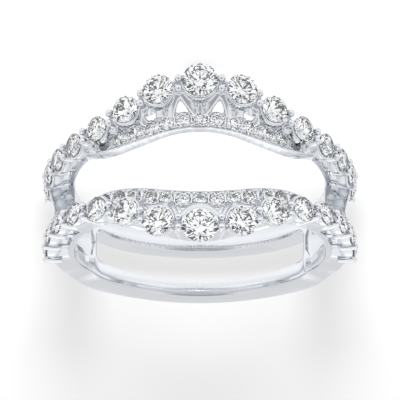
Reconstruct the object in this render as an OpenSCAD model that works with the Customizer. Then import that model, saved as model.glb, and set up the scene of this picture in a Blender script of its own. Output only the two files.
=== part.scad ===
// Ring guard enhancer: two matching stone-set bands on one finger bore, joined at the sides.
// The gap between the bands takes a solitaire ring. It is modelled lying on its back band,
// with the centre of the finger bore at the origin.

/* [Finger bore] */
// Diameter of the hole for the finger
bore_d = 17.3; // [15:0.1:21]

/* [Shanks and bridges] */
// Width of each plain shank
shank_w = 1.15; // [0.9:0.05:1.6]
// Width of the space between the two shanks
shank_gap = 2.26; // [1.8:0.02:2.8]
// Thickness of the shanks at the bottom
shank_t = 1.4; // [1.1:0.05:2]
// Thickness of the shanks and bridges at the sides
shoulder_t = 1.72; // [1.4:0.02:2.2]
// Radius of the corners where the space between the shanks ends
shank_gap_corner = 0.5; // [0.2:0.05:0.8]
// How much wider each shoulder stands than its shank
shoulder_flare = 0.38; // [0.2:0.02:0.6]
// Angle from the top of the ring to the bridge's upper edge
bridge_top_angle = 86; // [82:1:90]
// Angle from the top of the ring to the bridge's lower edge
bridge_low_angle = 125; // [122:1:132]
// Depth of the groove around the outside of each bridge
bridge_waist = 0.45; // [0.2:0.05:0.6]

/* [Main stones] */
// Diameter of the centre stone of each row
centre_stone_d = 2.45; // [2:0.05:2.8]
// Height of the stones' girdles above the bore
girdle_lift = 1.92; // [1.7:0.02:2.3]
// Distance of the centre stone from the middle of the ring, along the finger
crest_reach = 5.47; // [5:0.05:6]
// Distance of the side stones from the middle of the ring, along the finger
side_reach = 2.25; // [2.1:0.05:2.6]
// How far the side stones lean towards the gap, in degrees
side_lean = 7; // [0:1:10]

/* [Settings] */
// Radius of the prongs
prong_r = 0.28; // [0.2:0.02:0.34]
// Height of the prong tips above the girdles
prong_lift = 0.34; // [0.2:0.02:0.5]
// Distance of each prong from the line of the row
prong_offset = 0.38; // [0.3:0.02:0.5]
// Thickness of the web between the two prongs of a pair
web_t = 0.3; // [0.2:0.02:0.4]
// How far below the girdles the webs stop
web_drop = 0.7; // [0.5:0.05:1]
// Radius of the cups' feet at the bore, as a share of the stone's diameter
cup_foot = 0.2; // [0.16:0.01:0.24]
// Thickness of the outer wall between the cups
outer_wall = 0.34; // [0.2:0.02:0.5]
// Height of the outer wall between the cups
outer_wall_h = 1.35; // [1:0.05:1.5]
// Thickness of the rail that joins the cups at the bore
rail_t = 0.75; // [0.5:0.05:1]
// Width of the rail that joins the cups at the bore
rail_w = 0.85; // [0.6:0.05:1.1]
// Thickness of the V struts between the cups and the pave strip
strut_t = 0.34; // [0.2:0.02:0.5]
// Height of the V struts, towards the finger
strut_h = 0.7; // [0.4:0.05:1]

/* [Pave strips] */
// Half of the gap between the bands, in its middle
gap_half = 2.38; // [2.2:0.02:2.5]
// Width of each pave strip
strip_w = 1.36; // [1.2:0.02:1.5]
// Thickness of each pave strip in its middle
strip_t = 0.8; // [0.7:0.05:1.1]
// Thickness of each pave strip at its ends
strip_end_t = 1.35; // [1.2:0.05:1.7]
// Diameter of each pave stone
pave_stone_d = 1; // [0.8:0.02:1.1]
// Space from one pave stone to the next
pave_space = 0.16; // [0.1:0.01:0.3]

/* [Bridge stones] */
// Diameter of the stone in each bridge
bridge_stone_d = 2.2; // [1.6:0.05:2.4]
// Angle from the top of the ring to the bridge stones
bridge_stone_angle = 107; // [104:1:110]
// Diameter of the open back behind each bridge stone
bridge_window_d = 3.1; // [2.6:0.05:3.3]

/* [Fits] */
// Clearance between each stone and its seat
seat_clear = 0.04; // [0.03:0.01:0.08]

/* [Hidden] */
STONES = [for (i = [1 : 15]) i];

bore_r = bore_d / 2;
girdle_r = bore_r + girdle_lift;
shank_out = shank_gap / 2 + shank_w;
rail_r = bore_r + rail_t;
shoulder_r = bore_r + shoulder_t;
waist_r = shoulder_r - bridge_waist;
// The prongs stand in the rail, up to this share of its thickness above the bore
PRONG_FOOT = 0.4;
prong_h = girdle_lift - rail_t * PRONG_FOOT;
// The shanks' outer arc is centred this far above the bore's centre
foot_lift = 1.6;
foot_arc_r = bore_r + shank_t + foot_lift;
// How far the pave stones and the bridge stones sit below the metal around them
pave_sink = 0.06;
bridge_stone_sink = 0.1;
// How far struts run into the pave strip, and how far cups and cuts run past the bore
strut_run = 0.3;
overcut = 0.4;
// Longer than any reach of the ring
far = girdle_r + centre_stone_d;
// The cups stay this much inside the stones' rims
skin = 0.02;

// Half a row, from the centre stone to the side. Columns: angle from the top,
// diameter as a share of the centre stone's, reach as a share of the way from
// side_reach to crest_reach, and lean as a share of side_lean.
HALF_ROW = [
    [0, 1, 1, 0],
    [16, 0.886, 0.835, 0],
    [29.2, 0.816, 0.497, 0],
    [42.6, 0.735, 0.24, 0.3],
    [55.6, 0.686, 0.105, 0.7],
    [68, 0.653, 0.04, 1],
    [80.4, 0.612, 0, 1],
    [92.4, 0.571, 0, 1]
];
// Edge of the gap at the bore. Columns: angle from the top, share of gap_half.
GAP_EDGE = [
    [0, 1], [5, 0.99], [10, 0.955], [16, 0.89], [22, 0.795], [28, 0.72], [34, 0.665],
    [41, 0.647], [48, 0.695], [54, 0.8], [59, 0.905], [64, 0.985]
];
// Outer side of the shoulders. Columns: angle from the top, share of shoulder_flare.
OUTER_SIDE = [[97, 1.2], [100, 1], [107, 0.8], [113, 0.55], [120, 0.25], [127, 0]];
// Angles from the top where the pave strips, the top rails and the side rails end
PAVE_END = 45;
STRIP_END = 57;
TOP_RAIL_END = 56;
SIDE_RAIL = [46, 100];

// Proportions of a round brilliant, as shares of its diameter
TABLE_R = 0.28;
STAR_R = 0.4;
CROWN_H = 0.15;
GIRDLE_H = 0.03;
PAVILION_H = 0.43;
LOWER_R = 0.11;
// Radius of the hole behind each kind of stone, as a share of the stone's diameter
MAIN_HOLE = 0.12;
PAVE_HOLE = 0.13;
BRIDGE_HOLE = 0.36;
// Depth of the pave seats as a share of strip_t, and depth of the bridges' open backs
PAVE_DEPTH = 0.6;
window_depth = 0.45 * shoulder_t;

function half_index(i) = abs(i - 8);
function side_of(i) = i < 8 ? -1 : 1;
function stone_angle(i) = side_of(i) * HALF_ROW[half_index(i)][0];
function stone_d(i) = centre_stone_d * HALF_ROW[half_index(i)][1];
function reach(share) = side_reach + (crest_reach - side_reach) * share;
function stone_reach(i) = reach(HALF_ROW[half_index(i)][2]);
function stone_lean(i) = side_lean * HALF_ROW[half_index(i)][3];
function row_reach(a) = reach(lookup(abs(a), [for (s = HALF_ROW) [s[0], s[2]]]));
function row_lean(a) = side_lean * lookup(abs(a), [for (s = HALF_ROW) [s[0], s[3]]]);
function foot_reach(a) = row_reach(a) + girdle_lift * sin(row_lean(a));
function gap_edge(a) = gap_half * lookup(abs(a), GAP_EDGE);

// Top of the pave strip: an arc of its own, which reaches strip_end_t at STRIP_END
strip_drop = (strip_end_t - strip_t) / (1 - cos(STRIP_END));
strip_arc_r = bore_r + strip_t + strip_drop;
function strip_r(a) = -strip_drop * cos(a) + sqrt(pow(strip_arc_r, 2) - pow(strip_drop * sin(a), 2));
function strip_mid(a) = gap_edge(a) + strip_w / 2;
// The strip's outer side, which runs on into the outer wall where it comes over the rail's middle
function strip_out(a) =
    gap_edge(a) + strip_w < foot_reach(a) ? gap_edge(a) + strip_w : foot_reach(a) + rail_w / 2;
pave_pitch = 2 * asin((pave_stone_d + pave_space) / 2 / (strip_r(0) - pave_sink));
pave_half = floor(PAVE_END / pave_pitch);

// Puts children on the ring, with their Z axis pointing away from the finger
module on_ring(a, r, y, lean = 0) {
    rotate([0, 0, -a]) translate([0, r, y]) rotate([-90 - lean, 0, 0]) children();
}

// Puts children on both bands
module both_bands() {
    children();
    mirror([0, 0, 1]) children();
}

// The ring lies on the rim of its back centre stone and on the foot of its back shank
rest_rise = crest_reach + centre_stone_d / 2 - shank_out;
rest_run = girdle_r - GIRDLE_H * centre_stone_d / 2 + bore_r + shank_t;
rest_tilt = atan(rest_rise / rest_run);
module lying() {
    rotate([180 - rest_tilt, 0, 0]) children();
}

// Round brilliant with its girdle at Z = 0 and its table up
module brilliant(d) {
    r = d / 2;
    star_z = CROWN_H * d * (r - STAR_R * d * cos(22.5)) / (r - TABLE_R * d);
    lower_z = -PAVILION_H * d * (1 - LOWER_R * d * cos(22.5) / r);
    g = GIRDLE_H * d / 2;
    points = concat(
        [for (k = [0 : 7]) [TABLE_R * d * cos(45 * k), TABLE_R * d * sin(45 * k), g + CROWN_H * d]],
        [for (k = [0 : 7]) [STAR_R * d * cos(45 * k + 22.5), STAR_R * d * sin(45 * k + 22.5), g + star_z]],
        [for (k = [0 : 15]) [r * cos(22.5 * k), r * sin(22.5 * k), g]],
        [for (k = [0 : 15]) [r * cos(22.5 * k), r * sin(22.5 * k), -g]],
        [for (k = [0 : 7]) [LOWER_R * d * cos(45 * k + 22.5), LOWER_R * d * sin(45 * k + 22.5), lower_z - g]],
        [[0, 0, -PAVILION_H * d - g]]
    );
    T = 0;
    S = 8;
    U = 16;
    V = 32;
    L = 48;
    C = 56;
    faces = concat(
        [[for (k = [7 : -1 : 0]) T + k]],
        [for (k = [0 : 7]) [T + k, T + (k + 1) % 8, S + k]],
        [for (k = [0 : 7]) [T + k, S + k, U + 2 * k]],
        [for (k = [0 : 7]) [T + k, U + 2 * k, S + (k + 7) % 8]],
        [for (k = [0 : 7]) [S + k, U + 2 * k + 1, U + 2 * k]],
        [for (k = [0 : 7]) [S + k, U + (2 * k + 2) % 16, U + 2 * k + 1]],
        [for (k = [0 : 15]) [U + k, U + (k + 1) % 16, V + (k + 1) % 16, V + k]],
        [for (k = [0 : 7]) [V + 2 * k, V + 2 * k + 1, L + k]],
        [for (k = [0 : 7]) [V + 2 * k + 1, V + (2 * k + 2) % 16, L + k]],
        [for (k = [0 : 7]) [V + 2 * k, L + k, C]],
        [for (k = [0 : 7]) [V + 2 * k, C, L + (k + 7) % 8]]
    );
    polyhedron(points, faces, convexity = 2);
}

// Small eight-sided cut for the pave
module small_cut(d) {
    r = d / 2;
    g = GIRDLE_H * d / 2;
    rings = [[TABLE_R * d, CROWN_H * d + g], [r, g], [r, -g]];
    points = concat(
        [for (ring = rings, k = [0 : 7]) [ring[0] * cos(45 * k), ring[0] * sin(45 * k), ring[1]]],
        [[0, 0, -PAVILION_H * d - g]]
    );
    faces = concat(
        [[for (k = [7 : -1 : 0]) k]],
        [for (j = [0, 8], k = [0 : 7]) [j + k, j + (k + 1) % 8, j + 8 + (k + 1) % 8, j + 8 + k]],
        [for (k = [0 : 7]) [16 + k, 16 + (k + 1) % 8, 24]]
    );
    polyhedron(points, faces, convexity = 2);
}

// Space that a stone and its clearance take in the metal, with a hole of radius hole_r behind it
module seat(d, hole_r, depth) {
    r = d / 2 + seat_clear;
    rim_z = -GIRDLE_H * d / 2 - seat_clear;
    table_r = TABLE_R * d + seat_clear;
    rotate_extrude($fn = 48) polygon([
        [0, -depth], [hole_r, -depth], [hole_r, rim_z - PAVILION_H * (d - 2 * hole_r)],
        [r, rim_z], [r, GIRDLE_H * d],
        [table_r, (CROWN_H + GIRDLE_H) * d + seat_clear], [table_r, far], [0, far]
    ]);
}

// Open cup under main stone i, narrow at the bore and as wide as the stone at the girdle
module cup(i) {
    d = stone_d(i);
    foot = girdle_lift + overcut;
    rotate_extrude($fn = 48) polygon([
        [0, -foot], [cup_foot * d, -foot], [cup_foot * d, -girdle_lift],
        [d / 2 - skin, -GIRDLE_H * d], [0, -GIRDLE_H * d]
    ]);
}

module prong() {
    rotate_extrude($fn = 24) polygon([
        [0, -prong_h], [prong_r, -prong_h], [prong_r, prong_lift - prong_r * 0.7],
        [prong_r * 0.72, prong_lift - prong_r * 0.22], [prong_r * 0.3, prong_lift], [0, prong_lift]
    ]);
}

// Two prongs side by side, with the web that joins them to the rail
module prong_pair() {
    for (s = [-1, 1]) translate([0, s * prong_offset, 0]) prong();
    translate([-web_t / 2, -prong_offset, -prong_h]) cube([web_t, 2 * prong_offset, prong_h - web_drop]);
}

// Half way from stone i to the next one
function angle_between(i) = (stone_angle(i) + stone_angle(i + 1)) / 2;
function reach_between(i) = (stone_reach(i) + stone_reach(i + 1)) / 2;
function lean_between(i) = (stone_lean(i) + stone_lean(i + 1)) / 2;

// Places a pair between neighbouring stones, and one past the last stone of each side
module prong_pairs() {
    past = stone_angle(15) + (stone_angle(15) - stone_angle(14)) / 2;
    for (m = [-1, 1]) {
        for (i = [8 : 14])
            on_ring(m * angle_between(i), girdle_r, reach_between(i), lean_between(i)) prong_pair();
        on_ring(m * past, girdle_r, stone_reach(15), stone_lean(15)) prong_pair();
    }
}

// Puts children at each main stone's place in one band
module at_stones() {
    for ($i = STONES) on_ring(stone_angle($i), girdle_r, stone_reach($i), stone_lean($i)) children();
}

// Extrudes an outline of heights and reaches along X, through both sides of the ring
module through_sides() {
    rotate([90, 0, 90]) linear_extrude(2 * far, center = true) children();
}

// Shoulders and shanks, still without the bore and the gap between them
module lower_body() {
    side = [for (p = OUTER_SIDE) [bore_r * cos(p[0]), shank_out + shoulder_flare * p[1]]];
    half = concat([[side[0][0], 0]], side, [[-far, shank_out], [-far, 0]]);
    intersection() {
        cylinder(r = shoulder_r, h = 2 * far, center = true, $fn = 96);
        translate([0, foot_lift, 0]) cylinder(r = foot_arc_r, h = 2 * far, center = true, $fn = 96);
        through_sides() {
            polygon(half);
            mirror([0, 1]) polygon(half);
        }
    }
}

module bridges() {
    top_y = shoulder_r * cos(bridge_top_angle);
    low_y = shoulder_r * cos(bridge_low_angle);
    intersection() {
        cylinder(r = shoulder_r, h = 2 * far, center = true, $fn = 96);
        translate([-far, low_y, -side_reach]) cube([2 * far, top_y - low_y, 2 * side_reach]);
    }
}

// Round groove around the ring that hollows the outside of the bridges between the shanks
module waist_cutter() {
    half_w = shank_gap / 2 + overcut;
    groove_r = (pow(half_w, 2) + pow(bridge_waist, 2)) / (2 * bridge_waist);
    rotate_extrude($fn = 96) translate([waist_r + groove_r, 0]) circle(r = groove_r, $fn = 96);
}

// A strip of outline along one line of points, half a width to each side
function band_outline(line, half_w) = concat(
    [for (p = line) p - [0, half_w]], [for (k = [len(line) - 1 : -1 : 0]) line[k] + [0, half_w]]
);

// Rail under the cups along the sides of the ring
module side_rails() {
    line = [for (a = [SIDE_RAIL[0] : 6 : SIDE_RAIL[1]]) [rail_r * cos(a), foot_reach(a)]];
    intersection() {
        cylinder(r = rail_r, h = far, $fn = 96);
        through_sides() polygon(band_outline(line, rail_w / 2));
    }
}

// Edge points of one band across the top, seen along the radius at the top
function edge_angles() = [for (p = GAP_EDGE) p[0]];
function across(line) = concat([for (k = [len(line) - 1 : -1 : 1]) [-line[k][0], line[k][1]]], line);

// Extrudes an outline of widths and reaches upwards, through the top of the ring
module through_top() {
    low = bore_r * cos(max(edge_angles()));
    translate([0, low, 0]) rotate([-90, 0, 0]) mirror([0, 1]) linear_extrude(far) children();
}

module strip() {
    inner = across([for (a = edge_angles()) [bore_r * sin(a), gap_edge(a)]]);
    outer = across([for (a = edge_angles()) [strip_r(a) * sin(a), strip_out(a)]]);
    intersection() {
        translate([0, -strip_drop, 0]) cylinder(r = strip_arc_r, h = far, $fn = 96);
        through_top() polygon(concat(inner, [for (k = [len(outer) - 1 : -1 : 0]) outer[k]]));
    }
}

// Wall along the row across the top, up to radius top_r
module top_line(top_r, shift, half_w) {
    line = across([for (a = [0 : 4 : TOP_RAIL_END]) [rail_r * sin(a), foot_reach(a) + shift]]);
    intersection() {
        cylinder(r = top_r, h = far, $fn = 96);
        through_top() polygon(band_outline(line, half_w));
    }
}

// Rail under the cups across the top, and the outer wall that stands on it
module row_rail() {
    top_line(rail_r, 0, rail_w / 2);
    top_line(bore_r + outer_wall_h, (rail_w - outer_wall) / 2, outer_wall / 2);
}

function unit(v) = v / norm(v);

// A flat strut from point p to point q, its height along the radius
module strut(p, q) {
    x = unit(q - p);
    up = unit([p[0] + q[0], p[1] + q[1], 0]);
    y = unit(cross(up, x));
    z = cross(x, y);
    multmatrix([
        [x[0], y[0], z[0], p[0]], [x[1], y[1], z[1], p[1]], [x[2], y[2], z[2], p[2]], [0, 0, 0, 1]
    ]) translate([0, -strut_t / 2, -strut_h / 2]) cube([norm(q - p), strut_t, strut_h]);
}

// V struts from the inner prongs beside the three middle stones to the pave strip
module struts() {
    for (i = [8, 9], m = [-1, 1]) {
        a = angle_between(i);
        high = rail_r + strut_h / 2;
        for (b = [stone_angle(i), stone_angle(i + 1)]) {
            low = strip_r(b) - strut_h / 2;
            p = [m * high * sin(a), high * cos(a), reach_between(i) - prong_offset];
            q = [m * low * sin(b), low * cos(b), gap_edge(b) + strip_w - strut_run];
            strut(p, q);
        }
    }
}

module pave_places() {
    for (k = [-pave_half : pave_half]) {
        a = k * pave_pitch;
        on_ring(a, strip_r(a) - pave_sink, strip_mid(a)) children();
    }
}

module bridge_stone_place(side) {
    on_ring(side * bridge_stone_angle, waist_r - bridge_stone_sink, 0) children();
}

// Space between the shanks, with round corners at the bridges
module shank_gap_cutter() {
    r = shank_gap_corner;
    half = shank_gap / 2;
    end = bore_r * cos(bridge_low_angle);
    through_sides() {
        translate([-far, -half]) square([far + end - r, shank_gap]);
        translate([-far, r - half]) square([far + end, shank_gap - 2 * r]);
        for (m = [-1, 1]) translate([end - r, m * (half - r)]) circle(r = r, $fn = 32);
    }
}

module bands() {
    both_bands() {
        strip();
        side_rails();
        row_rail();
        struts();
        prong_pairs();
        at_stones() cup($i);
    }
}

// The stones' seats. Holes behind the main and bridge stones open into the bore.
module stone_seats() {
    both_bands() {
        at_stones() seat(stone_d($i), MAIN_HOLE * stone_d($i), girdle_r);
        pave_places() seat(pave_stone_d, PAVE_HOLE * pave_stone_d, strip_t * PAVE_DEPTH);
    }
    for (side = [-1, 1]) {
        bridge_stone_place(side) seat(bridge_stone_d, BRIDGE_HOLE * bridge_stone_d, girdle_r);
        on_ring(side * bridge_stone_angle, 0, 0)
            cylinder(d = bridge_window_d, h = bore_r + window_depth, $fn = 48);
    }
}

module ring_metal() {
    color("silver") lying() difference() {
        union() {
            difference() {
                union() {
                    lower_body();
                    bridges();
                }
                shank_gap_cutter();
                waist_cutter();
            }
            bands();
        }
        cylinder(r = bore_r, h = 3 * far, center = true, $fn = 128);
        stone_seats();
    }
}

module main_stone(i, band) {
    color("lightcyan") lying() mirror([0, 0, band])
        on_ring(stone_angle(i), girdle_r, stone_reach(i), stone_lean(i)) brilliant(stone_d(i));
}

module pave(band) {
    color("lightcyan") lying() mirror([0, 0, band]) pave_places() small_cut(pave_stone_d);
}

module bridge_stone(side) {
    color("lightcyan") lying() bridge_stone_place(side) brilliant(bridge_stone_d);
}

ring_metal();
pave(0);  // back_pave
pave(1);  // front_pave
bridge_stone(-1);  // left_bridge_stone
bridge_stone(1);  // right_bridge_stone
for (i = STONES) {
    main_stone(i, 0);
    main_stone(i, 1);
}
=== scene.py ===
import math

import bpy
import bmesh
from mathutils import Matrix, Vector


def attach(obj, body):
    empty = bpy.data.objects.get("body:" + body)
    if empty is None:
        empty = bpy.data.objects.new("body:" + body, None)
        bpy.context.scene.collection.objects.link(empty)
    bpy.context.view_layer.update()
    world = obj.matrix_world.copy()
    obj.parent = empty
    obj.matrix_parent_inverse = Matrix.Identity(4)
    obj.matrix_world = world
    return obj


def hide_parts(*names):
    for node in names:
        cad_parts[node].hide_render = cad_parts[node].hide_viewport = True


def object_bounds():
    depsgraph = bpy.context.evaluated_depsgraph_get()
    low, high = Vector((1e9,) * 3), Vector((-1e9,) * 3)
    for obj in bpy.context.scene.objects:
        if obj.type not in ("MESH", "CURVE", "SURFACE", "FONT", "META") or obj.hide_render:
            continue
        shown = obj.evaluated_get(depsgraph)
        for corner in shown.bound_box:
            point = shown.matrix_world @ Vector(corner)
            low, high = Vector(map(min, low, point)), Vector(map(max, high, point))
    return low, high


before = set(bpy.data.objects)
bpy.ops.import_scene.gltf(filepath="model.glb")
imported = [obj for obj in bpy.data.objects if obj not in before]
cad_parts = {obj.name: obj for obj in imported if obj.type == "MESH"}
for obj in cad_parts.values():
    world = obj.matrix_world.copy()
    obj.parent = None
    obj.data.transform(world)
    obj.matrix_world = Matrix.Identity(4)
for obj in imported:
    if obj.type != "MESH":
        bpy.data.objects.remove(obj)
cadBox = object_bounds()
print("frame loaded")

mm = 0.001  # the frame is in metres; lengths below are in millimetres unless they say otherwise

# The ring lies tilted on its back band. Its own axes are Y up through the middle stones and Z along the
# finger towards the back band, and a half turn less the tilt about X brings them into the row's frame.
ring = {
    "boreR": 8.65,
    "restTilt": 12.1062,  # degrees
    "girdleLift": 1.92,
    "centreStoneD": 2.45,
    "sideReach": 2.25,
    "crestReach": 5.47,
    "sideLean": 7,  # degrees
    "floorZ": cadBox[0][2] / mm,
}
ringToRow = Matrix.Scale(mm, 4) @ Matrix.Rotation(math.radians(180 - ring["restTilt"]), 4, "X")
girdleR = ring["boreR"] + ring["girdleLift"]

# Half a row: angle from the top, share of the centre stone's diameter, share of the way from the side
# reach to the crest reach, share of the lean
halfRow = [
    (0, 1, 1, 0), (16, 0.886, 0.835, 0), (29.2, 0.816, 0.497, 0), (42.6, 0.735, 0.24, 0.3),
    (55.6, 0.686, 0.105, 0.7), (68, 0.653, 0.04, 1), (80.4, 0.612, 0, 1), (92.4, 0.571, 0, 1),
]

strip = {
    "gapHalf": 2.38,
    "width": 1.36,
    "stoneLine": 0.66,  # from the gap's edge to the line of the stones
    "midT": 0.8,
    "endT": 1.35,
    "endAngle": 57,
    "paveEnd": 45,
    "bedDepth": 0.06,
    "bedPast": 2,  # degrees from paveEnd to the bed's end
    "bedFade": 3,
    "bedSlope": 0.04,
    "rimW": 0.09,
    "rimInset": 0.02,
    "lineW": 0.06,  # the engraved line beside the rim
    "lineDepth": 0.07,
    "lineAbove": 0.15,
    "scallopR": 0.64,
    "scallopOut": 0.14,  # how far the scallops stand out on the row's side
    "scallopEdge": [(0, -0.1), (0.05, -0.02)],  # inset, height from the top
    "scallopSides": 28,
    # corners of the strip's section: distance from the top or the bore, distance from the side
    "nearRise": 0.04,
    "nearTop": [(0.05, 0), (0.01, 0.02), (0, 0.05)],
    "farTop": [(0.03, 0.06), (0.04, 0.05), (0.09, 0)],
    "farLow": [(0.05, 0), (0.01, 0.02), (0, 0.06)],
    "nearLow": [(0, 0.05), (0.01, 0.02)],
    "sections": 96,
    # angle from the top, share of gapHalf
    "gapEdge": [(0, 1), (5, 0.99), (10, 0.955), (16, 0.89), (22, 0.795), (28, 0.72), (34, 0.665),
                (41, 0.647), (48, 0.695), (54, 0.8), (59, 0.905), (64, 0.985)],
}


# Smooth curve through a table's first column and one of the others, flat before and after it
def along(table, x, column=1):
    x = min(max(x, table[0][0]), table[-1][0])
    k = max(i for i in range(len(table) - 1) if table[i][0] <= x)

    def slope(i):
        if i == 0 or i == len(table) - 1:
            return 0
        return (table[i + 1][column] - table[i - 1][column]) / (table[i + 1][0] - table[i - 1][0])

    span = table[k + 1][0] - table[k][0]
    t = (x - table[k][0]) / span
    start = (2 * t ** 3 - 3 * t ** 2 + 1) * table[k][column]
    stop = (3 * t ** 2 - 2 * t ** 3) * table[k + 1][column]
    bend = (t ** 3 - 2 * t ** 2 + t) * slope(k) + (t ** 3 - t ** 2) * slope(k + 1)
    return start + stop + span * bend


def sinD(angle):
    return math.sin(math.radians(angle))


def cosD(angle):
    return math.cos(math.radians(angle))


def rowReach(angle):
    return ring["sideReach"] + (ring["crestReach"] - ring["sideReach"]) * along(halfRow, abs(angle), 2)


def rowLean(angle):
    return ring["sideLean"] * along(halfRow, abs(angle), 3)


def footReach(angle):
    return rowReach(angle) + ring["girdleLift"] * sinD(rowLean(angle))


def gapEdge(angle):
    return strip["gapHalf"] * along(strip["gapEdge"], abs(angle))


# Height of the strip's top: an arc of its own, which reaches endT at endAngle
def stripR(angle):
    drop = (strip["endT"] - strip["midT"]) / (1 - cosD(strip["endAngle"]))
    arcR = ring["boreR"] + strip["midT"] + drop
    return -drop * cosD(angle) + math.sqrt(arcR ** 2 - (drop * sinD(angle)) ** 2)


def ringPoint(angle, r, reach):
    return Vector((r * sinD(angle), r * cosD(angle), reach))


# Place on the ring whose local Z points away from the finger and local Y towards the gap
def onRing(angle, r, reach, lean=0):
    return (Matrix.Rotation(math.radians(-angle), 4, "Z") @ Matrix.Translation((0, r, reach))
            @ Matrix.Rotation(math.radians(-90 - lean), 4, "X"))


# Place in the row at an angle, with the shares of the reach and of the lean there
def inRow(angle, share, lean):
    reach = ring["sideReach"] + (ring["crestReach"] - ring["sideReach"]) * share
    return onRing(angle, girdleR, reach, ring["sideLean"] * lean)


# Main stones of one band: (angle, diameter, place on the ring)
def mainStones():
    for angle, size, share, lean in halfRow:
        for side in ((-1, 1) if angle else (1,)):
            yield side * angle, ring["centreStoneD"] * size, inRow(side * angle, share, lean)


# Junctions between neighbouring stones, and one past the last: (angle, place on the ring)
def junctions():
    for k, here in enumerate(halfRow):
        if k + 1 < len(halfRow):
            angle, share, lean = [(here[j] + halfRow[k + 1][j]) / 2 for j in (0, 2, 3)]
        else:
            angle = here[0] + (here[0] - halfRow[k - 1][0]) / 2
            share, lean = here[2], here[3]
        for side in (-1, 1):
            yield side * angle, inRow(side * angle, share, lean)


# Skin through a row of outlines. Its ends are closed by a fan, or by rungs where the outline is long.
def loft(bm, outlines, ends="fan"):
    rings = [[bm.verts.new(point) for point in outline] for outline in outlines]
    count = len(rings[0])
    for low, high in zip(rings, rings[1:]):
        for k in range(count):
            bm.faces.new((low[k], low[(k + 1) % count], high[(k + 1) % count], high[k]))
    for last in (rings[0], rings[-1]):
        if ends == "rungs":
            for k in range(count // 2 - 1):
                bm.faces.new((last[k], last[k + 1], last[count - 2 - k], last[count - 1 - k]))
        else:
            middle = bm.verts.new(sum((v.co for v in last), Vector()) / count)
            for k in range(count):
                bm.faces.new((last[k], last[(k + 1) % count], middle))


# Turns a profile of (radius, height) about local Z; it starts and ends on the axis
def revolve(bm, place, profile, sides):
    start = bm.verts.new(place @ Vector((0, 0, profile[0][1])))
    stop = bm.verts.new(place @ Vector((0, 0, profile[-1][1])))
    rings = []
    for radius, height in profile[1:-1]:
        rings.append([bm.verts.new(place @ Vector((radius * cosD(360 * k / sides),
                                                   radius * sinD(360 * k / sides), height)))
                      for k in range(sides)])
    for k in range(sides):
        after = (k + 1) % sides
        bm.faces.new((rings[0][k], rings[0][after], start))
        bm.faces.new((rings[-1][k], rings[-1][after], stop))
        for low, high in zip(rings, rings[1:]):
            bm.faces.new((low[k], low[after], high[after], high[k]))


# Outline of a flat box with rounded corners
def roundedBox(low, high, corner, bends=4):
    points = []
    corners = ((high[0], high[1]), (low[0], high[1]), (low[0], low[1]), (high[0], low[1]))
    for quarter, (u, v) in enumerate(corners):
        centre = (u - corner if u == high[0] else u + corner, v - corner if v == high[1] else v + corner)
        for k in range(bends + 1):
            turn = 90 * quarter + 90 * k / bends
            points.append((centre[0] + corner * cosD(turn), centre[1] + corner * sinD(turn)))
    return points


# Evenly spaced values with both ends
def steps(first, last, count):
    return [first + (last - first) * k / count for k in range(count + 1)]


def sweep(bm, angles, section):
    loft(bm, [[ringPoint(angle, r, reach) for r, reach in section(angle)] for angle in angles])


def placeObject(name, data):
    obj = bpy.data.objects.new(name, data)
    bpy.context.scene.collection.objects.link(obj)
    return obj


def newObject(name, bm, outward=True):
    if outward:
        bmesh.ops.recalc_face_normals(bm, faces=bm.faces)
    mesh = bpy.data.meshes.new(name)
    bm.to_mesh(mesh)
    bm.free()
    return placeObject(name, mesh)


# Turns what the modifiers make into the object's own mesh
def settle(obj):
    bpy.context.view_layer.update()
    shown = obj.evaluated_get(bpy.context.evaluated_depsgraph_get())
    mesh = bpy.data.meshes.new_from_object(shown)
    obj.modifiers.clear()
    obj.data = mesh


def combine(obj, other, operation):
    change = obj.modifiers.new("combine", "BOOLEAN")
    change.object = other
    change.operation = operation
    change.solver = "MANIFOLD"
    settle(obj)
    bpy.data.objects.remove(other)


# Fuses overlapping shells into one skin with soft edges
def fuse(obj):
    skin = obj.modifiers.new("skin", "REMESH")
    skin.mode = "VOXEL"
    skin.voxel_size = setting["voxel"]
    soft = obj.modifiers.new("soft", "SMOOTH")
    soft.factor = 0.5
    soft.iterations = setting["softening"]
    settle(obj)


# Leaves about as many triangles as the settings say
def thin(obj):
    obj.data.calc_loop_triangles()
    fewer = obj.modifiers.new("fewer", "DECIMATE")
    fewer.ratio = min(1, setting["triangles"] / len(obj.data.loop_triangles))
    settle(obj)


# Nodes
# A socket that takes part in arithmetic: each expression adds its Math nodes
class Sock:
    def __init__(self, tree, socket):
        self.tree = tree
        self.socket = socket

    def __add__(self, other):
        return mathNode(self.tree, "ADD", self, other)

    __radd__ = __add__

    def __mul__(self, other):
        return mathNode(self.tree, "MULTIPLY", self, other)

    __rmul__ = __mul__

    def __sub__(self, other):
        return mathNode(self.tree, "SUBTRACT", self, other)

    def __rsub__(self, other):
        return mathNode(self.tree, "SUBTRACT", other, self)

    def above(self, limit):
        return mathNode(self.tree, "GREATER_THAN", self, limit)

    def most(self, other):
        return mathNode(self.tree, "MAXIMUM", self, other)

    def sine(self):
        return mathNode(self.tree, "SINE", self)

    def bearing(self, other):
        return mathNode(self.tree, "ARCTAN2", self, other)


def makeNode(tree, kind, settings=None, inputs=None):
    node = tree.nodes.new(kind)
    for key, value in (settings or {}).items():
        if key == "stops":
            ramp = node.color_ramp
            while len(ramp.elements) < len(value):
                ramp.elements.new(0.5)
            for element, (place, tone) in zip(ramp.elements, value):
                element.position = place
                element.color = (tone, tone, tone, 1)
        else:
            setattr(node, key, value)
    for key, value in (inputs or {}).items():
        if isinstance(value, Sock):
            tree.links.new(value.socket, node.inputs[key])
        elif isinstance(value, bpy.types.NodeSocket):
            tree.links.new(value, node.inputs[key])
        else:
            node.inputs[key].default_value = value
    return node


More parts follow.
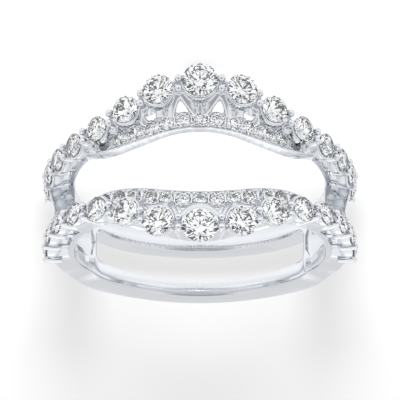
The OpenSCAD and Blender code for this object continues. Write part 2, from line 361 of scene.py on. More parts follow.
def mathNode(tree, operation, *values):
    made = makeNode(tree, "ShaderNodeMath", {"operation": operation}, dict(enumerate(values)))
    return Sock(tree, made.outputs[0])


# Geometry Nodes: copies of one shape on the points of a mesh, each turned by the point's "turn"
def copiesTree():
    tree = bpy.data.node_groups.new("setCopies", "GeometryNodeTree")
    for name, kind in (("Geometry", "NodeSocketGeometry"), ("Shape", "NodeSocketObject"),
                       ("Size", "NodeSocketFloat"), ("Finish", "NodeSocketMaterial")):
        tree.interface.new_socket(name, in_out="INPUT", socket_type=kind)
    tree.interface.new_socket("Geometry", in_out="OUTPUT", socket_type="NodeSocketGeometry")
    given = makeNode(tree, "NodeGroupInput").outputs
    shape = makeNode(tree, "GeometryNodeObjectInfo", {}, {"Object": given["Shape"]})
    turn = makeNode(tree, "GeometryNodeInputNamedAttribute", {"data_type": "FLOAT_VECTOR"}, {"Name": "turn"})
    copies = makeNode(tree, "GeometryNodeInstanceOnPoints", {}, {
        "Points": given["Geometry"], "Instance": shape.outputs["Geometry"],
        "Rotation": turn.outputs["Attribute"], "Scale": given["Size"]})
    real = makeNode(tree, "GeometryNodeRealizeInstances", {}, {"Geometry": copies.outputs["Instances"]})
    dressed = makeNode(tree, "GeometryNodeSetMaterial", {}, {
        "Geometry": real.outputs["Geometry"], "Material": given["Finish"]})
    makeNode(tree, "NodeGroupOutput", {}, {"Geometry": dressed.outputs["Geometry"]})
    return tree


# One mesh with a copy of the shape at each place
def setCopies(name, places, shape, finish, size=1.0):
    mesh = bpy.data.meshes.new(name)
    mesh.from_pydata([place.to_translation() for place in places], [], [])
    turns = mesh.attributes.new("turn", "FLOAT_VECTOR", "POINT")
    for k, place in enumerate(places):
        turns.data[k].vector = place.to_euler()
    obj = placeObject(name, mesh)
    change = obj.modifiers.new("copies", "NODES")
    change.node_group = copiesOnPoints
    for item in copiesOnPoints.interface.items_tree:
        if item.in_out == "INPUT" and item.name != "Geometry":
            change[item.identifier] = {"Shape": shape, "Size": size, "Finish": finish}[item.name]
    settle(obj)
    bpy.data.objects.remove(shape)
    return obj


def newMaterial(name):
    material = bpy.data.materials.new(name)
    material.use_nodes = True
    material.node_tree.nodes.clear()
    return material, material.node_tree


def noise(tree, place, scale, detail):
    return Sock(tree, makeNode(tree, "ShaderNodeTexNoise", {}, {
        "Vector": place, "Scale": scale, "Detail": detail}).outputs["Fac"])


def closeMaterial(tree, shader):
    makeNode(tree, "ShaderNodeOutputMaterial", {}, {"Surface": shader.outputs[0]})


# Rhodium-bright white metal: polished, with the faint waviness and haze of hand polishing
def whiteMetal():
    look = {
        "colour": (0.758, 0.777, 0.81, 1),
        "roughness": 0.06,
        "haze": 0.06,
        "fineHaze": 0.3,  # share of the haze that is fine
        "wave": 0.05,
        "waveHeight": 0.00002,  # metres
        "fineWave": 0.25,
        "cloudScale": 900.0,
        "fineScale": 5200.0,
    }
    material, tree = newMaterial("rhodiumBright")
    place = makeNode(tree, "ShaderNodeTexCoord").outputs["Object"]
    cloud = noise(tree, place, look["cloudScale"], 3.0)
    fine = noise(tree, place, look["fineScale"], 2.0)
    rough = look["roughness"] + look["haze"] * (cloud * (1 - look["fineHaze"]) + fine * look["fineHaze"])
    bump = makeNode(tree, "ShaderNodeBump", {}, {
        "Strength": look["wave"], "Distance": look["waveHeight"],
        "Height": cloud + fine * look["fineWave"]})
    shader = makeNode(tree, "ShaderNodeBsdfPrincipled", {}, {
        "Base Color": look["colour"], "Metallic": 1.0, "Roughness": rough,
        "Normal": bump.outputs["Normal"]})
    closeMaterial(tree, shader)
    return material


# Cut diamond: clear, with a trace of haze on the facets
def clearStone():
    look = {"colour": (0.96, 0.98, 1, 1), "ior": 2.42, "haze": 0.012, "hazeScale": 3000.0}
    material, tree = newMaterial("cutDiamond")
    place = makeNode(tree, "ShaderNodeTexCoord").outputs["Object"]
    cloud = noise(tree, place, look["hazeScale"], 2.0)
    shader = makeNode(tree, "ShaderNodeBsdfPrincipled", {}, {
        "Base Color": look["colour"], "Roughness": look["haze"] * cloud, "IOR": look["ior"],
        "Transmission Weight": 1.0})
    closeMaterial(tree, shader)
    return material


# Pale sheet with an even glow of its own, and a painted pool of light under the ring that lightens the ring's
# shadow there
def paleFloor():
    look = {
        "colour": (0.36, 0.36, 0.36, 1),
        "glow": 0.42,
        "pool": 0.3,
        "poolNear": 0.008,  # metres
        "poolFar": 0.0135,
        "roughness": 0.6,
        "haze": 0.1,
        "hazeScale": 40.0,
    }
    material, tree = newMaterial("paleFloor")
    place = makeNode(tree, "ShaderNodeTexCoord").outputs["Object"]
    cloud = noise(tree, place, look["hazeScale"], 2.0)
    away = makeNode(tree, "ShaderNodeVectorMath", {"operation": "LENGTH"}, {0: place}).outputs["Value"]
    # Painted pool of light: full extra glow out to poolNear from the middle under the ring, none past
    # poolFar, so the ring's shadow there is lightened
    pool = makeNode(tree, "ShaderNodeMapRange", {"interpolation_type": "SMOOTHSTEP"}, {
        "Value": away, "From Min": look["poolNear"], "From Max": look["poolFar"],
        "To Min": look["glow"] + look["pool"], "To Max": look["glow"]})
    tint = makeNode(tree, "ShaderNodeCombineColor", {}, {k: pool.outputs[0] for k in range(3)})
    shader = makeNode(tree, "ShaderNodeBsdfPrincipled", {}, {
        "Base Color": look["colour"], "Roughness": look["roughness"] + cloud * look["haze"],
        "Specular IOR Level": 0.2, "Emission Color": tint.outputs[0], "Emission Strength": 1.0})
    closeMaterial(tree, shader)
    return material


def setMaterial(obj, material):
    obj.data.materials.clear()
    obj.data.materials.append(material)


copiesOnPoints = copiesTree()
metal = whiteMetal()
stone = clearStone()
for name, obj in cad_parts.items():
    setMaterial(obj, metal if name == "ring_metal" else stone)
print("materials made")


# Lower body: the two shanks, the shoulders and the bridges
body = {
    "shankGap": 2.26,
    "shankOut": 2.28,
    "shankT": 1.4,
    "shoulderT": 1.72,
    "footLift": 1.6,
    "topAngle": 86,
    "slotAngle": 125,
    "slotCorner": 0.5,
    "slotBends": 6,
    "slotSteps": 60,
    "overrun": 0.4,  # how far the slot's cutter runs past the metal
    "waist": 0.45,
    "waistOver": 0.4,
    "grooveEnd": 0.95,  # share of the groove's radius that is used
    "grooveLow": 0.6,  # the groove leaves this much above the bore alone
    "lip": 0.12,
    "edge": 0.11,
    "easeW": 0.2,  # narrow bevel along the bore's edges
    "easeH": 0.085,
    # angle from the top, reach of the outer side beyond shankOut
    "flare": [(84, -0.3), (93, -0.3), (97, 0.3), (101, 0.28), (106, 0.23), (112, 0.19), (118, 0.11),
              (122, 0.1), (128, 0.17), (134, 0.14), (142, 0.06), (152, 0), (180, 0)],
    "sections": 188,
    "across": 24,
    "sharpFrom": 38,  # degrees between two faces
}


# Outside of the shanks: an arc of its own, cut off at the shoulders
def outerR(angle):
    arc = ring["boreR"] + body["shankT"] + body["footLift"]
    foot = body["footLift"] * cosD(angle) + math.sqrt(arc ** 2 - (body["footLift"] * sinD(angle)) ** 2)
    return min(ring["boreR"] + body["shoulderT"], foot)


# Bottom of the scooped groove between the shanks
def grooveR(reach):
    waistR = ring["boreR"] + body["shoulderT"] - body["waist"]
    half = body["shankGap"] / 2 + body["waistOver"]
    curve = (half ** 2 + body["waist"] ** 2) / (2 * body["waist"])
    return waistR + curve - math.sqrt(curve ** 2 - min(abs(reach), curve * body["grooveEnd"]) ** 2)


# The lower of two heights, with a soft lip where they meet
def softLower(first, second, blend):
    h = max(blend - abs(first - second), 0) / blend
    return min(first, second) - h * h * blend / 4


def bodySection(angle):
    mirrored = min(angle, 360 - angle)
    half = body["shankOut"] + along(body["flare"], mirrored)
    top = outerR(mirrored)
    edge = body["edge"]
    points = roundedBox((ring["boreR"], -half), (top, half), edge)
    quarter = len(points) // 4
    across = [(top, reach) for reach in steps(-half + edge, half - edge, body["across"])[1:-1]]
    bevel = [(ring["boreR"] + body["easeH"], half), (ring["boreR"], half - body["easeW"])]
    bore = bevel + [(r, -reach) for r, reach in reversed(bevel)]
    outline = points[3 * quarter:] + across + points[:quarter] + bore
    return [(softLower(r, grooveR(reach), body["lip"]) if r > ring["boreR"] + body["grooveLow"] else r, reach)
            for r, reach in outline]


# The space between the shanks, wider where it comes out at the bore and outside
def slotOutline(grow, level):
    half = body["shankGap"] / 2 + grow
    corner = body["slotCorner"] + grow
    endY = ring["boreR"] * cosD(body["slotAngle"]) + grow
    bend = []
    for turn in steps(90, 0, body["slotBends"]):
        y = endY - corner + corner * sinD(turn)
        bend.append((math.degrees(math.acos(y / ring["boreR"])), half - corner + corner * cosD(turn)))
    straight = [(angle, half) for angle in steps(bend[-1][0], 360 - bend[-1][0], body["slotSteps"])[1:-1]]
    upper = bend + straight + [(360 - angle, reach) for angle, reach in reversed(bend)]
    return ([ringPoint(angle, level(min(angle, 360 - angle)), reach) for angle, reach in upper]
            + [ringPoint(angle, level(min(angle, 360 - angle)), -reach) for angle, reach in reversed(upper)])


# Layers from inside the bore outwards: how much wider than the slot, distance from the bore's axis
def slotCutter():
    edge = body["edge"]
    bm = bmesh.new()
    layers = [
        (body["easeW"], lambda angle: ring["boreR"] - body["overrun"]),
        (body["easeW"], lambda angle: ring["boreR"]),
        (0, lambda angle: ring["boreR"] + body["easeH"]),
    ]
    for turn in reversed(steps(0, 90, 4)):
        grow, sink = edge * (1 - sinD(turn)), edge * (1 - cosD(turn))
        layers.append((grow, lambda angle, sink=sink: outerR(angle) - sink))
    layers.append((edge, lambda angle: outerR(angle) + body["overrun"]))
    loft(bm, [slotOutline(grow, level) for grow, level in layers], "rungs")
    return newObject("slotCutter", bm)


def buildLowerBody():
    bm = bmesh.new()
    sweep(bm, steps(body["topAngle"], 360 - body["topAngle"], body["sections"]), bodySection)
    obj = newObject("ringBody", bm)
    combine(obj, slotCutter(), "DIFFERENCE")
    return obj


# One band's cups and what carries them, fused in one skin. Negative heights lie below the girdle.
setting = {
    "railT": 0.75,
    "railW": 0.85,
    "railEnd": 99,
    "railCorner": 0.12,
    "railSections": 120,
    "wallT": 0.34,
    "wallEnd": 62,
    "wallFade": 4,  # degrees before its end in which the wall comes down
    "wallLow": 1.2,
    "wallHigh": 1.72,
    "wallCorner": 0.08,
    "wallSections": 150,
    "rimOut": 0.07,
    "rimShift": 0.1,  # towards the gap
    "rimLean": 0.25,  # more of it lower down, per millimetre, until leanEnd
    "leanEnd": 48,
    "rimTop": -0.08,
    "rimEase": (0.04, 0.06),  # across, down
    "cupSides": 40,
    # the cup below its rim: height from the girdle, how much narrower than the rim
    "bowl": [(-0.6, 0), (-0.7, 0.06), (-0.85, 0.18), (-1.05, 0.32), (-1.35, 0.48), (-1.7, 0.55)],
    # the side cups are round at the bottom and stand on posts over a low rail
    "sideFrom": 50,
    "sideFade": 6,
    "sideBowl": [(-0.3, 0), (-0.5, 0.05), (-0.68, 0.16), (-0.83, 0.32), (-0.93, 0.5), (-0.97, 0.64)],
    "sideRailT": 0.42,
    # web between two prongs: height, how much thicker each way, how much longer each way; at the sides
    # the rows with nothing in the last column are as long as sidePostW each way
    "web": [(-1.8, 0.26, 0), (-1.2, 0.06, 0), (-0.8, 0.03, 0.02), (-0.55, 0.1, 0.06), (-0.3, 0.12, 0.04)],
    "webHalfT": 0.2,
    "webPast": 0.1,  # past the middles of the prongs
    "webCorner": 0.1,
    "lastWeb": 95,  # past it the prongs stand on the shoulders
    "sidePostT": 0.2,
    "sidePostW": 0.3,
    "sidePostFlare": 0.4,
    "prongR": 0.28,
    "prongOffset": 0.38,
    "prongLift": 0.34,
    "prongLow": -1.75,
    "sideProngLow": -1.05,
    "prongFoot": 0.7,  # share of the radius
    "prong": [(0.86, -0.75), (1, -0.3), (1, 0)],  # share of the radius, height
    "prongSides": 20,
    "tipRoot": 0.55,
    "tipSides": 24,
    # gusset between two rims: distance towards the gap, half width, top
    "gusset": [(0.2, 0.36, -0.4), (0.5, 0.34, -0.42), (0.75, 0.28, -0.46), (0.95, 0.2, -0.54)],
    "gussetLow": -1.1,
    "gussetCorner": 0.1,
    # limbs from a prong pair to the strip: the pair's angle, where each of its limbs stands on the strip
    "limbs": [(8, 1.85, 12.3), (22.6, 22.9)],
    "limbStart": (0.08, 0.42, -0.56),
    "limbBend": (0.54, 1.1, -0.62),
    "limbSink": 0.2,
    "limbInset": 0.3,
    "limbHalfW": [0.34, 0.32, 0.31],  # at its start, bend and end
    "limbHalfH": [0.26, 0.26, 0.3],
    "limbCorner": 0.22,
    # posts under the three middle cups: distance from the cup's centre, half width, top
    "posts": {
        0: [(1, 0.26, -0.7), (1.4, 0.2, -0.64), (1.75, 0.2, -0.68), (2.15, 0.26, -0.85)],
        16: [(0.8, 0.4, -0.7), (1.1, 0.34, -0.6), (1.4, 0.36, -0.66), (1.75, 0.4, -0.85)],
    },
    "postLow": -1.3,
    "postCorner": 0.16,
    # feet that stand on the strip: angle of the stone, first and last angle on the strip
    "feet": [(29.2, 23.5, 31), (42.6, 34, 40)],
    "footInset": 0.35,
    "footSink": 0.15,
    "footPast": 0.25,  # past the cup's rim
    "footUnder": 0.6,  # under the girdle
    "footT": 0.55,
    "footTurn": 0.8,  # share of the way to the stone's angle
    "footNarrow": 0.35,
    "footCorner": 0.1,
    "voxel": 0.055,
    "softening": 3,
    "triangles": 56000,
}


def addStrip(bm):
    low = ring["boreR"]

    def section(angle):
        near = gapEdge(angle) - strip["rimInset"]
        far = near + strip["width"] - strip["scallopOut"]
        if far > footReach(angle):
            far = footReach(angle) + setting["railW"] / 2
        top = stripR(angle)
        fade = min(1, max(0, (strip["paveEnd"] + strip["bedPast"] - abs(angle)) / strip["bedFade"]))
        bed = top - strip["bedDepth"] * fade
        rim = strip["rimW"]
        return ([(low + strip["nearRise"], near)]
                + [(top - drop, near + inset) for drop, inset in strip["nearTop"]]
                + [(top, near + rim), (bed, near + rim + strip["bedSlope"]), (bed, far - rim)]
                + [(top - drop * (fade if inset else 1), far - inset) for drop, inset in strip["farTop"]]
                + [(low + rise, far - inset) for rise, inset in strip["farLow"]]
                + [(low + rise, near + inset) for rise, inset in strip["nearLow"]])

    last = strip["gapEdge"][-1][0]
    sweep(bm, steps(-last, last, strip["sections"]), section)
    for angle in paveAngles():
        top = stripR(angle)
        place = onRing(angle, top, gapEdge(angle) + strip["stoneLine"])
        r = strip["scallopR"]
        edge = [(r - inset, height) for inset, height in strip["scallopEdge"]]
        shape = [(0, low - top), (r, low - top)] + edge + [(0, edge[-1][1])]
        revolve(bm, place, shape, strip["scallopSides"])


def addRails(bm):
    def rail(angle):
        middle = footReach(angle)
        half = setting["railW"] / 2
        side = min(1, max(0, (abs(angle) - setting["sideFrom"]) / setting["sideFade"]))
        high = setting["railT"] + (setting["sideRailT"] - setting["railT"]) * side
        return roundedBox((ring["boreR"], middle - half), (ring["boreR"] + high, middle + half),
                          setting["railCorner"])

    sweep(bm, steps(-setting["railEnd"], setting["railEnd"], setting["railSections"]), rail)

    # the outer wall is high at a junction and low at a stone
    marks = sorted([(angle, 1) for angle, place in junctions() if angle > 0]
                   + [(row[0], 0) for row in halfRow])

    def wall(angle):
        outer = footReach(angle) + setting["railW"] / 2
        high = setting["wallLow"] + (setting["wallHigh"] - setting["wallLow"]) * along(marks, abs(angle))
        end = min(1, (setting["wallEnd"] - abs(angle)) / setting["wallFade"])
        high = setting["railT"] + (high - setting["railT"]) * end
        return roundedBox((ring["boreR"], outer - setting["wallT"]), (ring["boreR"] + high, outer),
                          setting["wallCorner"])

    sweep(bm, steps(-setting["wallEnd"], setting["wallEnd"], setting["wallSections"]), wall)


def addCups(bm):
    for angle, d, place in mainStones():
        out = d / 2 + setting["rimOut"]
        share = d / ring["centreStoneD"]
        shape = setting["sideBowl"] if abs(angle) > setting["sideFrom"] else setting["bowl"]
        bowl = [(out - inset * share, height) for height, inset in reversed(shape)]
        fade = max(0, 1 - abs(angle) / setting["leanEnd"])
        lean = Matrix(((1, 0, 0, 0), (0, 1, -setting["rimLean"] * fade, setting["rimShift"]),
                       (0, 0, 1, 0), (0, 0, 0, 1)))
        top, ease = setting["rimTop"], setting["rimEase"]
        rim = [(out, top - ease[1]), (out - ease[0], top), (0, top)]
        revolve(bm, place @ lean, [(0, bowl[0][1])] + bowl + rim, setting["cupSides"])


# Webs with their prongs. At the sides a web is a post under the pair.
def addWebs(bm):
    for angle, place in junctions():
        onSide = abs(angle) > setting["sideFrom"]
        half = setting["sidePostT"] if onSide else setting["webHalfT"]
        reach = setting["prongOffset"] + setting["webPast"]
        outlines = []
        for height, wide, deep in setting["web"]:
            wide *= setting["sidePostFlare"] if onSide else 1
            if onSide and deep == 0:
                deep = setting["sidePostW"] - reach
            outline = roundedBox((-half - wide, -reach - deep), (half + wide, reach + deep),
                                 setting["webCorner"])
            outlines.append([place @ Vector((u, v, height)) for u, v in outline])
        if abs(angle) < setting["lastWeb"]:
            loft(bm, outlines)
        r = setting["prongR"]
        low = setting["sideProngLow"] if onSide else setting["prongLow"]
        shape = [(0, low), (r * setting["prongFoot"], low)]
        shape += [(r * share, height) for share, height in setting["prong"]] + [(0, 0)]
        for side in (-1, 1):
            spot = place @ Matrix.Translation((0, side * setting["prongOffset"], 0))
            revolve(bm, spot, shape, setting["prongSides"])


# A wall of changing width and height that runs towards the gap: rows of (distance, half width, top)
def addWall(bm, place, rows, low, corner):
    outlines = []
    for v, half, top in rows:
        outlines.append([place @ Vector((u, v, w)) for u, w in roundedBox((-half, low), (half, top), corner)])
    loft(bm, outlines)


# Smooth walls between neighbouring rims on the gap side, from the prongs to the top of each opening
def addGussets(bm):
    for angle, place in junctions():
        if abs(angle) < setting["sideFrom"]:
            addWall(bm, place, setting["gusset"], setting["gussetLow"], setting["gussetCorner"])


# Posts from the middle cups down to the strip, between the openings
def addPosts(bm):
    for angle, d, place in mainStones():
        if abs(angle) in setting["posts"]:
            addWall(bm, place, setting["posts"][abs(angle)], setting["postLow"], setting["postCorner"])


# A bar of changing width and height along a bent path
def addBar(bm, path, up, halfWidths, halfHeights):
    outlines = []
    for k, point in enumerate(path):
        ahead = (path[min(k + 1, len(path) - 1)] - path[max(k - 1, 0)]).normalized()
        wide = ahead.cross(up).normalized()
        high = wide.cross(ahead).normalized()
        w, h = halfWidths[k], halfHeights[k]
        outlines.append([point + wide * u + high * v
                         for u, v in roundedBox((-w, -h), (w, h), setting["limbCorner"])])
    loft(bm, outlines)


# Nine values from the first to the last, bent towards the middle one
def bentRow(first, middle, last):
    return [first * (1 - t) ** 2 + middle * 2 * t * (1 - t) + last * t ** 2 for t in steps(0, 1, 8)]


# Limbs from each inner prong down to the strip, beside the opening under it
def addLimbs(bm):
    for angle, place in junctions():
        for pairAngle, *feet in setting["limbs"]:
            if abs(abs(angle) - pairAngle) > 1:
                continue
            for foot in feet:
                outward = Matrix.Diagonal((1 if (foot > pairAngle) == (angle > 0) else -1, 1, 1, 1))
                stand = math.copysign(foot, angle)
                stop = ringPoint(stand, stripR(stand) - setting["limbSink"],
                                 gapEdge(stand) + strip["width"] - setting["limbInset"])
                path = bentRow(place @ outward @ Vector(setting["limbStart"]),
                               place @ outward @ Vector(setting["limbBend"]), stop)
                addBar(bm, path, ringPoint(stand, 1, 0),
                       bentRow(*setting["limbHalfW"]), bentRow(*setting["limbHalfH"]))


# Feet on the strip for the cups beside the middle three
def addFeet(bm):
    for stoneAngle, first, last in setting["feet"]:
        share = along(halfRow, stoneAngle, 1)
        rim = rowReach(stoneAngle) - ring["centreStoneD"] * share / 2
        for side in (-1, 1):
            outlines = []
            middle = (first + last) / 2
            start = gapEdge(middle) + strip["width"] - setting["footInset"]
            for t in steps(0, 1, 6):
                centre = middle + (stoneAngle - middle) * t * setting["footTurn"]
                half = (last - first) / 2 * (1 - setting["footNarrow"] * t)
                reach = start + (rim + setting["footPast"] - start) * t
                foot = stripR(centre) - setting["footSink"]
                high = foot + (girdleR - setting["footUnder"] - foot) * t
                outlines.append([ringPoint(side * (centre + turn), r, reach) for r, turn in
                                 roundedBox((high - setting["footT"], -half), (high, half),
                                            setting["footCorner"])])
            loft(bm, outlines)


pave = {
    "d": 1.08,
    "pitch": 7.07,  # degrees
    "sink": 0.05,
    "clear": 0.012,
    "hole": 0.13,  # under the stone, share of its diameter
    "holeDepth": 0.48,
    "seatSides": 32,
    "beadR": 0.14,
    "beadLift": 0.12,
    "beadRoot": 0.2,
    "beadSink": 0.04,
    "beadSides": 14,
    "beadTurn": 1,  # degrees from half way between two stones
    "beadReach": 0.46,  # from the line of the stones
    "lineSections": 90,
}


def paveAngles():
    half = int(strip["paveEnd"] / pave["pitch"])
    return [k * pave["pitch"] for k in range(-half, half + 1)]


def pavePlaces():
    return [onRing(angle, stripR(angle) - pave["sink"], gapEdge(angle) + strip["stoneLine"])
            for angle in paveAngles()]


# Prong tips and pave beads: domes of one size each, a little flatter than a ball, set by Geometry Nodes
def dome(name, r, up, down, sides):
    bm = bmesh.new()
    rise = r * 0.8
    cap = [(r * cosD(turn), up - rise + rise * sinD(turn)) for turn in steps(0, 80, 6)]
    revolve(bm, Matrix(), [(0, -down), (r, -down)] + cap + [(0, up)], sides)
    return newObject(name, bm)


def prongPlaces():
    return [place @ Matrix.Translation((0, side * setting["prongOffset"], 0))
            for angle, place in junctions() for side in (-1, 1)]


def beadPlaces():
    spots = []
    for angle in paveAngles():
        for turn in (-1, 1):
            at = angle + turn * (pave["pitch"] / 2 - pave["beadTurn"])
            for side in (-1, 1):
                reach = gapEdge(at) + strip["stoneLine"] + side * pave["beadReach"]
                spots.append(onRing(at, stripR(at) - pave["beadSink"], reach))
    return spots


# A round brilliant in shares of its diameter, and the main stones' seats
cut = {
    "table": 0.28,  # from the stone's axis, as are the next two
    "star": 0.4,
    "lower": 0.11,
    "girdle": 0.03,
    "crown": 0.15,
    "pavilion": 0.43,
    "hole": 0.12,
    "holeDepth": 2.4,  # millimetres, as are the next two
    "clear": 0.03,
    "above": 0.6,
    "seatSides": 48,
}


# The room that a stone takes in the metal, with a hole under it and an open top
def seatProfile(d, hole, depth, clear):
    r = d / 2 + clear
    rim = -cut["girdle"] * d / 2 - clear
    table = cut["table"] * d + clear
    high = (cut["crown"] + cut["girdle"]) * d
    top = high + cut["above"]
    return [(0, -depth), (hole, -depth), (hole, rim - cut["pavilion"] * (d - 2 * hole)), (r, rim),
            (r, cut["girdle"] * d), (table, high + clear), (table, top), (0, top)]


def addSeat(bm, place, d):
    revolve(bm, place, seatProfile(d, cut["hole"] * d, cut["holeDepth"], cut["clear"]), cut["seatSides"])


def cutSeats(obj):
    bm = bmesh.new()
    for angle, d, place in mainStones():
        addSeat(bm, place, d)
    combine(obj, newObject("mainSeats", bm), "DIFFERENCE")
    bm = bmesh.new()
    d = pave["d"]
    seat = seatProfile(d, pave["hole"] * d, pave["holeDepth"], pave["clear"])
    for place in pavePlaces():
        revolve(bm, place, seat, pave["seatSides"])
    combine(obj, newObject("paveSeats", bm), "DIFFERENCE")


# Thin line engraved between the strip's rim and its bed
def cutLine(obj):
    bm = bmesh.new()

    def groove(angle):
        reach = gapEdge(angle) + strip["rimW"]
        top = stripR(angle)
        half = strip["lineW"] / 2
        above = top + strip["lineAbove"]
        return [(above, reach - half), (top, reach - half), (top - strip["lineDepth"], reach),
                (top, reach + half), (above, reach + half)]

    last = strip["paveEnd"] + strip["bedPast"]
    sweep(bm, steps(-last, last, pave["lineSections"]), groove)
    combine(obj, newObject("edgeLine", bm), "DIFFERENCE")


def buildBand():
    bm = bmesh.new()
    addStrip(bm)
    addRails(bm)
    addCups(bm)
    addWebs(bm)
    addGussets(bm)
    addLimbs(bm)
    addPosts(bm)
    addFeet(bm)
    band = newObject("band", bm)
    fuse(band)
    thin(band)
    tip = dome("prongTip", setting["prongR"], setting["prongLift"], setting["tipRoot"], setting["tipSides"])
    combine(band, setCopies("prongTips", prongPlaces(), tip, metal), "UNION")
    bead = dome("bead", pave["beadR"], pave["beadLift"], pave["beadRoot"], pave["beadSides"])
    combine(band, setCopies("beads", beadPlaces(), bead, metal), "UNION")
    cutLine(band)
    cutSeats(band)
    return band


# Mirror image for the other band, beside the object or in its place
def mirrored(obj, name, keep=False):
    bm = bmesh.new()
    bm.from_mesh(obj.data)
    if not keep:
        bpy.data.objects.remove(obj)
    bmesh.ops.scale(bm, vec=(1, 1, -1), verts=bm.verts)
    bmesh.ops.reverse_faces(bm, faces=bm.faces)
    return newObject(name, bm, outward=False)


# Round brilliant with its girdle at Z = 0 and its table up
def brilliant(name, d):
    r, g = d / 2, cut["girdle"] / 2 * d
    tableR, starR, lowerR = cut["table"] * d, cut["star"] * d, cut["lower"] * d
    crown, pavilion = cut["crown"] * d, cut["pavilion"] * d
    between = 22.5  # degrees from a corner of the table to the middle of its side
    starZ = g + crown * (r - starR * cosD(between)) / (r - tableR)
    lowerZ = -g - pavilion * (1 - lowerR * cosD(between) / r)
    bm = bmesh.new()

    def ringOf(count, radius, height, first=0):
        turns = [360 * k / count + first for k in range(count)]
        return [bm.verts.new((radius * cosD(turn), radius * sinD(turn), height)) for turn in turns]

    table, star = ringOf(8, tableR, g + crown), ringOf(8, starR, starZ, between)
    upper, under = ringOf(16, r, g), ringOf(16, r, -g)
    lower = ringOf(8, lowerR, lowerZ, between)
    culet = bm.verts.new((0, 0, -pavilion - g))
    bm.faces.new(table)
    for k in range(8):
        after, before = (k + 1) % 8, (k + 7) % 8
        left, middle, right = 2 * k, 2 * k + 1, (2 * k + 2) % 16
        for face in ((table[k], table[after], star[k]), (table[k], star[k], upper[left], star[before]),
                     (star[k], upper[middle], upper[left]), (star[k], upper[right], upper[middle]),
                     (upper[left], upper[middle], under[middle], under[left]),
                     (upper[middle], upper[right], under[right], under[middle]),
                     (under[left], under[middle], lower[k]), (under[middle], under[right], lower[k]),
                     (under[left], lower[k], culet, lower[before])):
            bm.faces.new(face)
    return newObject(name, bm)


bridge = {
    "angle": 107,
    "stoneD": 2.2,
    "stoneR": 9.82,
    "hole": 0.36,  # under the stone, share of its diameter
    "holeDepth": 1.6,
    "lastStones": 75,  # the stones past this angle have their seats in the shoulders too
    "dishSides": 11,
    "dishStretch": 1.28,  # along the bore's circle
    "dishMiddle": 9,
    "dishReach": 2.2,
    "dishAbove": 0.02,
    # the bright-cut dish round the stone's point: radius, distance from the bore's axis
    "dish": [(1.9, 7), (1.9, 8.5), (1.62, 8.68), (0.82, 9.3), (0.82, 9.42)],
}


# Seats of the last stones of both rows, where the shoulders come up under them
def cutLastSeats(obj):
    bm = bmesh.new()
    for angle, d, place in mainStones():
        if abs(angle) > bridge["lastStones"]:
            addSeat(bm, place, d)
            addSeat(bm, Matrix.Scale(-1, 4, (0, 0, 1)) @ place, d)
    combine(obj, newObject("lastSeats", bm), "DIFFERENCE")


def cutBridges(obj):
    bm = bmesh.new()
    d = bridge["stoneD"]
    for side in (-1, 1):
        place = onRing(side * bridge["angle"], bridge["stoneR"], 0)
        seat = seatProfile(d, bridge["hole"] * d, bridge["holeDepth"], cut["clear"])
        revolve(bm, place, seat, cut["seatSides"])
    combine(obj, newObject("bridgeSeats", bm), "DIFFERENCE")
    bm = bmesh.new()
    dish = bridge["dish"]
    for side in (-1, 1):
        place = onRing(side * bridge["angle"], 0, 0) @ Matrix.Diagonal((bridge["dishStretch"], 1, 1, 1))
        revolve(bm, place, [(0, dish[0][1])] + dish + [(0, dish[-1][1])], bridge["dishSides"])
    combine(obj, newObject("bridgeDishes", bm), "DIFFERENCE")


# True in the dishes, above the bore's own surface
def inDish(point):
    middles = [ringPoint(side * bridge["angle"], bridge["dishMiddle"], 0) for side in (-1, 1)]
    near = min((point - middle).length for middle in middles) < bridge["dishReach"]
    return near and point.xy.length > ring["boreR"] + bridge["dishAbove"]


# Flat facets in the dishes, smooth shading with sharp edges everywhere else
def finishMetal(obj):
    for face in obj.data.polygons:
        face.use_smooth = not inDish(face.center)
    obj.data.transform(ringToRow)
    setMaterial(obj, metal)
    obj.data.set_sharp_from_angle(angle=math.radians(body["sharpFrom"]))
    even = obj.modifiers.new("even", "WEIGHTED_NORMAL")
    even.keep_sharp = True
    settle(obj)
    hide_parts("ring_metal")
    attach(obj, "root")


def buildPave(name, node, side):
    stones = setCopies(name, pavePlaces(), brilliant("paveStone", pave["d"]), stone)
    if side < 0:
        stones = mirrored(stones, name)
    stones.data.transform(ringToRow)
    setMaterial(stones, stone)
    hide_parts(node)
    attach(stones, "root")


whole = buildLowerBody()
print("lower body built")
backBand = buildBand()
frontBand = mirrored(backBand, "frontBand", keep=True)
print("bands built")
cutLastSeats(whole)
combine(whole, backBand, "UNION")
combine(whole, frontBand, "UNION")
cutBridges(whole)
whole.name = "ring_body"
finishMetal(whole)
whole.data.calc_loop_triangles()
print("metal joined:", len(whole.data.loop_triangles), "triangles")
buildPave("back_pave_stones", "back_pave", 1)
buildPave("front_pave_stones", "front_pave", -1)
print("pave set")


# Floor, light and camera
stage = {
    "floorHalf": 3000,
    "photoPx": 400,
    "pxPerMm": 14.5,
    "centrePx": (200, 215),  # where the centre of the finger bore shows in the photo
    "cameraElevation": 36.11,
    "cameraDistance": 1200,
    "sensorWidth": 36,
    "clipNear": 0.01,  # metres
    "clipFar": 20,
    "keyPlace": (0, -375, 94),
    "keySize": 90,
    "keyPower": 4.8,  # watts
    # the tent: height of a direction, how bright it is there
    "tent": [(0.0, 0.84), (0.25, 0.8), (0.45, 0.92), (0.8, 1.0)],
    # what only the stones see: a dark card round the lens, in degrees, flags round it and more light
    "cardRadius": 16,
    "cardTone": 0.0,
    "flagCount": 10,
    "flagGap": 0.6,
    "flagNear": 28,
    "flagFar": 62,
    "stoneGain": 0.35,
    # what the rest sees: a soft dark disc round the lens, in degrees, and more light from overhead
    "discNear": 12,
    "discFar": 36,
    "discDepth": 0.52,
    "topFrom": 0.5,
    "topFull": 0.9,
    "topGain": 0.06,
    # soft box behind the ring, in degrees
    "boxHigh": 38,
    "boxNear": 12,
    "boxFar": 30,
    "boxGain": 0.4,
}


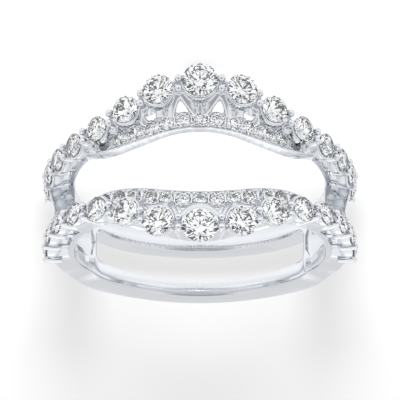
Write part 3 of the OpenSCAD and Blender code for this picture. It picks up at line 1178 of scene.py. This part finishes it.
# Direction from the ring to the camera
def cameraBack():
    high = math.radians(stage["cameraElevation"])
    return Vector((0, -math.cos(high), math.sin(high)))


def buildFloor():
    half = stage["floorHalf"] * mm
    z = ring["floorZ"] * mm
    mesh = bpy.data.meshes.new("floor")
    mesh.from_pydata([(-half, -half, z), (half, -half, z), (half, half, z), (-half, half, z)],
                     [], [(0, 1, 2, 3)])
    floor = placeObject("floor", mesh)
    setMaterial(floor, paleFloor())


# 0 where the value is low, 1 where it is high, soft between
def softRamp(tree, value, low, high):
    return Sock(tree, makeNode(tree, "ShaderNodeMapRange", {"interpolation_type": "SMOOTHSTEP"}, {
        "Value": value, "From Min": low, "From Max": high}).outputs[0])


# Soft tent, a little darker low down
def buildWorld():
    world = bpy.data.worlds.new("softStudio")
    world.use_nodes = True
    tree = world.node_tree
    tree.nodes.clear()
    direction = makeNode(tree, "ShaderNodeTexCoord").outputs["Generated"]
    parts = makeNode(tree, "ShaderNodeSeparateXYZ", {}, {0: direction})
    x, y, z = [Sock(tree, parts.outputs[k]) for k in range(3)]
    lens = cameraBack()
    facing = x * lens.x + y * lens.y + z * lens.z
    card = facing.above(cosD(stage["cardRadius"]))
    glow = makeNode(tree, "ShaderNodeValToRGB", {"stops": stage["tent"]}, {0: z})
    box = softRamp(tree, y * cosD(stage["boxHigh"]) + z * sinD(stage["boxHigh"]),
                   cosD(stage["boxFar"]), cosD(stage["boxNear"]))
    spin = x.bearing(y * lens.z - z * lens.y)
    spokes = (spin * stage["flagCount"]).sine().above(stage["flagGap"])
    ringOfFlags = facing.above(cosD(stage["flagFar"])) * (1 - facing.above(cosD(stage["flagNear"])))
    inStone = Sock(tree, makeNode(tree, "ShaderNodeLightPath").outputs["Is Transmission Ray"])
    disc = softRamp(tree, facing, cosD(stage["discFar"]), cosD(stage["discNear"]))
    dark = (card.most(spokes * ringOfFlags) * inStone).most(disc * (1 - inStone) * stage["discDepth"])
    shade = makeNode(tree, "ShaderNodeMix", {"data_type": "RGBA"}, {
        0: dark, 6: glow.outputs["Color"], 7: (*[stage["cardTone"]] * 3, 1)})
    top = softRamp(tree, z, stage["topFrom"], stage["topFull"])
    strength = (1 + box * stage["boxGain"] + inStone * stage["stoneGain"]
                + top * (1 - inStone) * stage["topGain"])
    back = makeNode(tree, "ShaderNodeBackground", {}, {"Color": shade.outputs[2], "Strength": strength})
    makeNode(tree, "ShaderNodeOutputWorld", {}, {"Surface": back.outputs[0]})
    bpy.context.scene.world = world


# Neither the metal nor the stones see this light, so it only lights the floor and casts the shadow
def buildKey():
    data = bpy.data.lights.new("key", "AREA")
    data.shape = "DISK"
    data.size = stage["keySize"] * mm
    data.energy = stage["keyPower"]
    obj = placeObject("key", data)
    place = Vector(stage["keyPlace"])
    obj.location = place * mm
    obj.rotation_euler = (-place).to_track_quat("-Z", "Y").to_euler()
    obj.visible_glossy = False
    obj.visible_transmission = False


# The camera looks from in front and above, turned half a turn so that the back band is on top
def buildCamera():
    high = math.radians(stage["cameraElevation"])
    back = cameraBack()
    up = Vector((0, -math.sin(high), -math.cos(high)))
    right = up.cross(back)
    shift = (stage["photoPx"] / 2 - stage["centrePx"][1]) / stage["pxPerMm"]
    centre = up * -shift
    data = bpy.data.cameras.new("camera")
    data.sensor_width = stage["sensorWidth"]
    data.lens = stage["sensorWidth"] * stage["cameraDistance"] / (stage["photoPx"] / stage["pxPerMm"])
    data.clip_start = stage["clipNear"]
    data.clip_end = stage["clipFar"]
    obj = placeObject("camera", data)
    turn = Matrix((right, up, back)).transposed().to_4x4()
    obj.matrix_world = Matrix.Translation((centre + back * stage["cameraDistance"]) * mm) @ turn
    bpy.context.scene.camera = obj


buildFloor()
buildWorld()
buildKey()
buildCamera()
bpy.context.scene.view_settings.view_transform = "Standard"
print("stage built")
